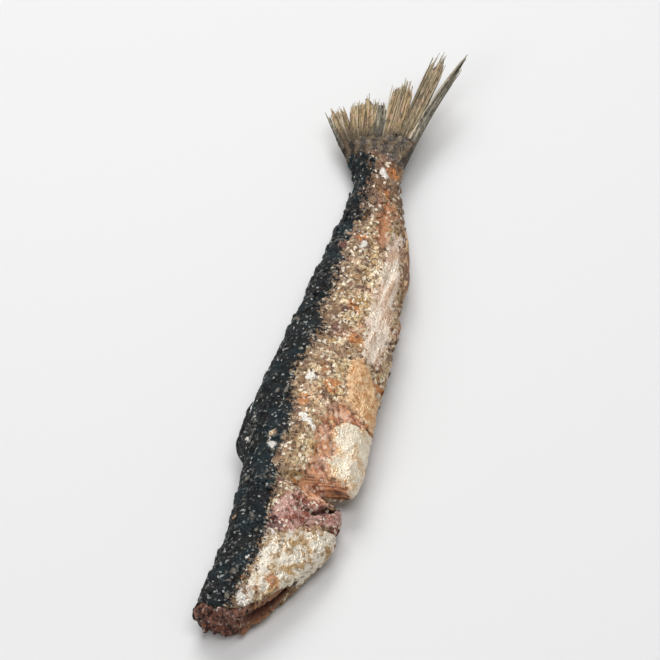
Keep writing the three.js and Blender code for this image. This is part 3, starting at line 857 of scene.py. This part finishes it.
# Each bundle, from the back to the belly, in the fin's own plane: its two corners at the root and its two
# corners at the tip (belly side first), its number of rays, how warm its colour is, and how far it bows
BUNDLES = [
    ((121.4, 5.5), (120.4, 6.4), (128.4, 11.4), (128.9, 12.3), 1, 0.15, 0),
    ((122.4, 4.2), (121.6, 5.9), (130.8, 8.9), (130.0, 11.6), 3, 0.8, 0.3),
    ((122.6, 1.3), (122, 4.2), (135.4, 3.7), (132.8, 7.7), 5, 0.95, 0.6),
    ((122.6, -0.7), (122.6, 1.4), (134.8, 1.2), (134.2, 2.9), 3, 0.0, 0.5),
    ((122.6, -3.4), (122.6, -0.5), (141.2, -3.3), (138.2, 0.0), 5, 0.75, 0.5),
    ((122.4, -5.0), (122.4, -3.0), (148.9, -8.8), (147.6, -5.6), 4, 0.5, 0.4),
    ((119, -6.3), (121, -4.0), (148.6, -13.2), (148.2, -12.3), 2, 0.1, -0.9),
]
FIN_CURL = 1.2  # how far a ray as long as FIN_LENGTH curls up beyond its straight rise
FIN_LENGTH = 28.0
STRANDS = 4  # that each ray branches into
RAY_COLUMNS = 6  # columns of points across each ray's share of the skin
ROOT_RAY_THICKNESS = 0.55
TIP_RAY_THICKNESS = 0.2
RAY_STEPS = 22
fin_luck = np.random.default_rng(7)


class Fin:
    """Thin closed tubes gathered into one mesh, with numbers stored at their points."""

    def __init__(self):
        self.points, self.faces, self.notes = [], [], {}

    def tube(self, rings, **readings):
        """Adds a tube through rings of points."""
        rows, round_ = rings.shape[:2]
        first = sum(len(p) for p in self.points)
        self.points.append(rings.reshape(-1, 3))
        for i in range(rows - 1):
            for j in range(round_):
                k = (j + 1) % round_
                a, b = first + i * round_, first + (i + 1) * round_
                self.faces.append((a + j, b + j, b + k, a + k))
        self.faces.append(tuple(first + j for j in range(round_)))
        self.faces.append(tuple(first + (rows - 1) * round_ + j for j in reversed(range(round_))))
        for name, value in readings.items():
            whole = np.broadcast_to(np.asarray(value, float), (rows, round_)).reshape(-1)
            self.notes.setdefault(name, []).append(whole)

    def piece(self, name):
        """Makes the object."""
        mesh = bpy.data.meshes.new(name)
        mesh.from_pydata(((np.concatenate(self.points) + NECK) * MM).tolist(), [], self.faces)
        mesh.shade_smooth()
        made = bpy.data.objects.new(name, mesh)
        bpy.context.scene.collection.objects.link(made)
        note(made, **{key: np.concatenate(values) for key, values in self.notes.items()})
        return made


def ray_rings(path, flat, wide, thick):
    """Rings round a flattened ray. flat is the direction across the fin."""
    ahead = np.gradient(path, axis=0)
    ahead /= np.linalg.norm(ahead, axis=1, keepdims=True)
    side = flat - ahead * (ahead @ flat)[:, None]
    side /= np.linalg.norm(side, axis=1, keepdims=True)
    off = np.cross(ahead, side)
    half_side = side * wide[:, None] / 2
    half_off = off * thick[:, None] / 2
    corners = [(1, 0), (0.5, 0.87), (-0.5, 0.87), (-1, 0), (-0.5, -0.87), (0.5, -0.87)]
    return np.stack([path + u * half_side + v * half_off for u, v in corners], 1)


def in_bundle(bundle, share, off):
    """A place in a bundle of rays: share of its length, and place across it from -0.5 to 0.5."""
    corners, flat, bow, sway, ripple = bundle
    share, off = np.broadcast_arrays(share, off)
    start = corners[0] + (corners[1] - corners[0]) * (off[..., None] + 0.5)
    end = corners[2] + (corners[3] - corners[2]) * (off[..., None] + 0.5)
    point = start + (end - start) * share[..., None]
    swell = bow * np.sin(share * math.pi) * np.where(bow < 0, -1, 2 * off)
    point = point + flat[:2] * swell[..., None]
    past = point[..., 0] - TRUNK_LENGTH
    up = root_height + rise * past + FIN_CURL * (np.maximum(past, 0) / FIN_LENGTH) ** 2
    up = up + sway * share**2 + 0.35 * np.sin(off * 5 + ripple) * share
    return np.concatenate([point, up[..., None]], -1)


tail = Fin()
root_height = laid(TRUNK_LENGTH, 0, 0)[2]
rise = (laid(TRUNK_LENGTH + WEB_LENGTH, 0, 0)[2] - root_height) / WEB_LENGTH
reach = np.linspace(0, 1, RAY_STEPS)
branching = smooth(0.3, 0.9, reach)
ray_thick = ROOT_RAY_THICKNESS - (ROOT_RAY_THICKNESS - TIP_RAY_THICKNESS) * np.sqrt(reach)
for root_low, root_high, tip_low, tip_high, rays, warmth, bow in BUNDLES:
    corners = np.array([root_low, root_high, tip_low, tip_high])
    length = np.hypot(*(corners[2:].mean(0) - corners[:2].mean(0)))
    root_wide, tip_wide = np.hypot(*(corners[1] - corners[0])), np.hypot(*(corners[3] - corners[2]))
    flat = np.array([*(corners[3] - corners[2] + corners[1] - corners[0]), 0])
    flat /= np.linalg.norm(flat)
    bundle = (corners, flat, bow, fin_luck.normal(0, 0.5), fin_luck.uniform(0, 6))

    # The dried skin between the rays, frayed at its end and thicker over each ray
    columns = rays * RAY_COLUMNS + 1
    off = np.linspace(-0.5, 0.5, columns)
    ray_end = 1 - 0.16 * fin_luck.random(rays) ** 1.4
    frayed = np.repeat(ray_end, RAY_COLUMNS)
    frayed = np.r_[frayed, frayed[-1]] * (1 - 0.12 * fin_luck.random(columns)) - 0.04
    frayed = frayed * (1 - 0.1 * np.abs(2 * off) ** 3)
    reached = reach[:, None] * frayed
    ridge = np.abs(np.sin((off + 0.5) * rays * math.pi))
    sheet = in_bundle(bundle, reached, off)
    sheet[..., 2] += 0.28 * ridge * (1 - 0.5 * reached)
    half_thick = (0.14 + 0.10 * ridge) * (1 - 0.6 * reached)
    skin_up = np.stack([0 * half_thick, 0 * half_thick, half_thick], -1)
    rings = np.concatenate([sheet + skin_up, (sheet - skin_up)[:, ::-1]], 1)
    both_sides = np.concatenate([reached, reached[:, ::-1]], 1)
    ridges = np.concatenate([ridge, ridge[::-1]])
    tail.tube(rings, far=both_sides * length, share=both_sides, ridge=ridges, tone=0.5, warmth=warmth)

    # The strands of each ray, side by side at its root and spread at its tip
    ray_wide = (root_wide + (tip_wide - root_wide) * reach) / rays
    strand_wide = ray_wide * (0.5 - 0.26 * branching) * (1 - 0.4 * reach**8)
    for ray in range(rays):
        middle = (ray + 0.5) / rays - 0.5
        bend = fin_luck.normal(0, 0.3)
        for strand in range(STRANDS):
            far = ray_end[ray] * (1.02 - 0.09 * fin_luck.random()) * (1 - 0.1 * abs(2 * middle) ** 3)
            spread = (strand + 0.5 - STRANDS / 2) / STRANDS / rays * branching
            drift = fin_luck.normal(0, 0.3) / tip_wide * reach**3
            path = in_bundle(bundle, reach * far, middle + spread + drift)
            path[:, 2] += 0.32 + (bend * 0.5 + fin_luck.normal(0, 0.25)) * reach**4
            rings = ray_rings(path, flat, strand_wide, ray_thick)
            along = (reach * far)[:, None]
            tail.tube(rings, far=along * length, share=along, ridge=1, tone=fin_luck.random(), warmth=warmth)
tail_fin = tail.piece("tail_fin")

GREY_OLIVE = (0.23, 0.21, 0.155)
AMBER = (0.50, 0.35, 0.16)
ROSY = (0.60, 0.38, 0.23)
DARK_STREAK = (0.05, 0.038, 0.024)
PALE_STREAK = (0.66, 0.54, 0.39)
DARK_RAY = (0.06, 0.045, 0.028)
PALE_RAY = (0.72, 0.61, 0.45)
BETWEEN_RAYS = (0.05, 0.038, 0.022)
FRAYED_END = (0.52, 0.46, 0.33)
DARK_FOOT = (0.035, 0.026, 0.017)
RAY_JOINTS = 7.5  # joints of a ray, as radians of a wave for each millimetre
web = Finish("dried_fin", Specular_IOR_Level=0.45)
ray_tone = web.reading("tone")
warm = web.reading("warmth")
ray_streaks = web.specks(0.4, 3, 0.6, (0.25, 1, 1))
rosy_share = web.sum(web.ramp(web.specks(1.8, 4, 0.65), 0.5, 0.62), web.ramp(warm, 0.2, 0.8), "MULTIPLY")
fin_colour = web.coat(GREY_OLIVE, AMBER, web.ramp(warm, 0.1, 0.95))
fin_colour = web.coat(fin_colour, ROSY, rosy_share)
fin_colour = web.coat(fin_colour, DARK_STREAK, web.ramp(ray_streaks, 0.5, 0.38, (0, 0.75)))
fin_colour = web.coat(fin_colour, PALE_STREAK, web.ramp(ray_streaks, 0.54, 0.66, (0, 0.75)))
fin_colour = web.coat(fin_colour, DARK_RAY, web.ramp(ray_tone, 0.4, 0.0, (0, 0.7)))
fin_colour = web.coat(fin_colour, PALE_RAY, web.ramp(ray_tone, 0.55, 1.0, (0, 0.8)))
fin_colour = web.coat(fin_colour, BETWEEN_RAYS, web.ramp(web.reading("ridge"), 0.5, 0.0, (0, 0.6)))
fin_colour = web.coat(fin_colour, FRAYED_END, web.ramp(web.reading("share"), 0.65, 1.0, (0, 0.6)))
fin_colour = web.coat(fin_colour, DARK_FOOT, web.ramp(web.reading("far"), 7, 2, (0, 0.8)))
ray_joints = web.sum(web.sum(web.reading("far"), RAY_JOINTS, "MULTIPLY"), 0, "SINE")
web.feed(Base_Color=fin_colour, Roughness=web.ramp(ray_streaks, 0.3, 0.7, (0.35, 0.65)))
web.bump(web.sum(web.sum(ray_joints, 0.35, "MULTIPLY"), ray_streaks), 0.08)
tail_fin.data.materials.append(web.material)
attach(tail_fin, "root")
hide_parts("dried_herring")


# ---- Dorsal and anal fins ----------------------------------------------------------------------
# The fin of the back and the low fin behind the vent: short bony rays, folded back along the body and
# stuck down as they dried.


def folded_fin(name, start, length, height, side, rays):
    """Rays that start along the back (side 1) or the belly (side -1) and lean towards the tail."""
    foot_depth = 0.9  # how deep the rays are rooted
    fin = Fin()
    along = np.linspace(0, 1, 10)
    paths = []
    for ray in range(rays):
        share = ray / (rays - 1)
        foot = start + 0.6 * length * share
        far = 0.4 * length * (1 - 0.3 * share)
        tall = height * (1 - 0.6 * share) * (0.8 + 0.3 * fin_luck.random())
        where = foot + along * far
        out = (tall + foot_depth) * np.sin(along**0.8 * math.pi * 0.72) - foot_depth
        roll = roll_at(where / TRUNK_LENGTH)
        path = laid(where, side, 0)
        path = path + np.stack([0 * roll, np.cos(roll), np.sin(roll)], 1) * side * out[:, None]
        path[:, 2] += 0.25 * math.sin(ray * 2.1) * along + fin_luck.normal(0, 0.15) * along
        paths.append(path)
        rings = ray_rings(path, np.array([0.3, side, 0]), 0.55 - 0.3 * along, 0.5 - 0.25 * along)
        reached = along[:, None]
        fin.tube(rings, far=reached * far, share=reached, ridge=1, tone=fin_luck.random(), warmth=0.5)
    sheet = np.stack(paths, 1)[:9]
    half_thick = np.array([0, 0, 0.12])
    rings = np.concatenate([sheet + half_thick, (sheet - half_thick)[:, ::-1]], 1)
    fin.tube(rings, far=3.0, share=0.5, ridge=0.4, tone=0.5, warmth=0.5)
    return fin.piece(name)


dorsal_fin = folded_fin("dorsal_fin", start=37.0, length=18, height=1.9, side=1, rays=17)
anal_fin = folded_fin("anal_fin", start=85.0, length=22, height=1.0, side=-1, rays=19)

SOOT_BLACK = (0.005, 0.007, 0.008)
SOOT_GREY = (0.035, 0.033, 0.027)
SALT_GLINT = (0.4, 0.42, 0.4)
sooty = Finish("charred_fin", Specular_IOR_Level=0.25)
sooty_colour = sooty.coat(SOOT_BLACK, SOOT_GREY, sooty.ramp(sooty.reading("tone"), 0.5, 1))
# Painted glints of salt on the soot
sooty_colour = sooty.coat(sooty_colour, SALT_GLINT, sooty.ramp(sooty.cells(0.42), 0.92, 0.95, (0, 0.6)))
soot = sooty.specks(0.5)
sooty.feed(Base_Color=sooty_colour, Roughness=sooty.ramp(soot, 0.3, 0.7, (0.25, 0.55)))
sooty.bump(soot, 0.2)
dorsal_fin.data.materials.append(sooty.material)

FIN_BROWN = (0.20, 0.10, 0.05)
FIN_GOLD = (0.62, 0.42, 0.24)
FIN_STAIN = (0.10, 0.045, 0.025)
golden = Finish("golden_fin", Specular_IOR_Level=0.5)
golden_colour = golden.coat(FIN_BROWN, FIN_GOLD, golden.ramp(golden.reading("tone"), 0.3, 0.9))
golden_colour = golden.coat(golden_colour, FIN_STAIN, golden.ramp(golden.specks(1.6), 0.5, 0.62))
golden.feed(Base_Color=golden_colour, Roughness=golden.ramp(golden.specks(0.5), 0.3, 0.7, (0.35, 0.6)))
golden.bump(golden.specks(0.4), 0.1)
anal_fin.data.materials.append(golden.material)
for fin in (dorsal_fin, anal_fin):
    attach(fin, "root")
    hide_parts("dried_herring")


# ---- Table, lamps and camera -------------------------------------------------------------------
# A plain pale table top. Two big soft lamps behind and above it, and a weaker one in front, are what
# a small studio uses for food.

EDGE = 3.0  # metres from the middle of the table to its edge
table_mesh = bpy.data.meshes.new("table")
table_corners = [(-EDGE, -EDGE, 0), (EDGE, -EDGE, 0), (EDGE, EDGE, 0), (-EDGE, EDGE, 0)]
table_mesh.from_pydata(table_corners, [], [(0, 1, 2, 3)])
table = bpy.data.objects.new("table", table_mesh)
bpy.context.scene.collection.objects.link(table)
paint = Finish("pale_table", Base_Color=(0.8, 0.8, 0.8, 1), Roughness=0.6)
table_mesh.materials.append(paint.material)


def lamp(name, place, size, power):
    """A soft square lamp that faces the fish, with its power in watts."""
    light = bpy.data.lights.new(name, "AREA")
    light.size = size
    light.energy = power
    made = bpy.data.objects.new(name, light)
    made.location = place
    made.rotation_euler = made.location.to_track_quat("Z", "Y").to_euler()
    bpy.context.scene.collection.objects.link(made)


lamp("back_lamp", (0.55, 0.25, 0.6), size=0.5, power=4.2)
lamp("top_lamp", (-0.1, -0.15, 0.8), size=0.5, power=2.6)
lamp("front_lamp", (-0.7, 0.4, 0.45), size=0.4, power=1.6)
world = bpy.data.worlds.new("studio")
world.use_nodes = True
world.node_tree.nodes["Background"].inputs["Color"].default_value = (1, 1, 1, 1)
world.node_tree.nodes["Background"].inputs["Strength"].default_value = 0.25
bpy.context.scene.world = world
bpy.context.scene.view_settings.view_transform = "Standard"

CAMERA_TURN = math.radians(14.3)  # the camera looks along the fish, turned this far towards its back
CAMERA_TILT = math.radians(48)
CAMERA_FAR = 2.4
CAMERA_LENS = 690  # a long lens, so that the fish is seen with almost no perspective
view = bpy.data.cameras.new("camera")
view.lens = CAMERA_LENS
view.clip_start = 0.01
camera = bpy.data.objects.new("camera", view)
aim = (low + high) / 2
look = type(aim)((
    math.cos(CAMERA_TILT) * math.cos(CAMERA_TURN),
    math.cos(CAMERA_TILT) * math.sin(CAMERA_TURN),
    -math.sin(CAMERA_TILT),
))
camera.location = aim - look * CAMERA_FAR
camera.rotation_euler = (-look).to_track_quat("Z", "Y").to_euler()
bpy.context.scene.collection.objects.link(camera)
bpy.context.scene.camera = camera
